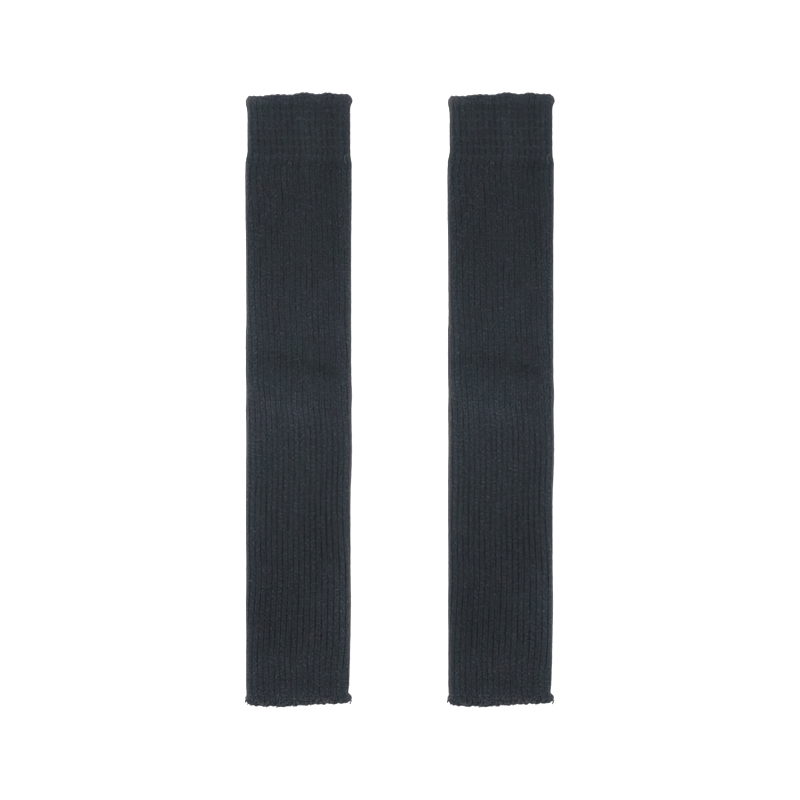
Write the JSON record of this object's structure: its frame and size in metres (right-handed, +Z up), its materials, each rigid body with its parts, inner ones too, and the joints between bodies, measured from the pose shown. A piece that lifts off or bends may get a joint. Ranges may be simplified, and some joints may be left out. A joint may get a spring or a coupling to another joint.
{
  "type": "pair of leg warmers",
  "caption": "Pair of long ribbed knit leg warmers laid flat side by side, each a flattened tube with an elasticated cuff and a flared hem.",
  "frame": {"origin": "on the surface that the pair rests on, midway between the two warmers and midway along them", "axes": "+X across the pair towards the right warmer, +Y along the tubes towards the cuffs, +Z up off the surface"},
  "size_m": [0.3016, 0.6, 0.0078],
  "materials": {
    "cuff_knit": "dark charcoal elasticated rib knit, matt with a light fuzz",
    "leg_knit": "dark charcoal rib knit, matt with a light fuzz",
    "hem_knit": "dark charcoal rib knit with a cast-off edge, matt with a light fuzz"
  },
  "bodies": {
    "root": {"left_cuff": "cuff_knit", "left_leg": "leg_knit", "left_hem": "hem_knit", "right_cuff": "cuff_knit", "right_leg": "leg_knit", "right_hem": "hem_knit"}
  },
  "joints": []
}
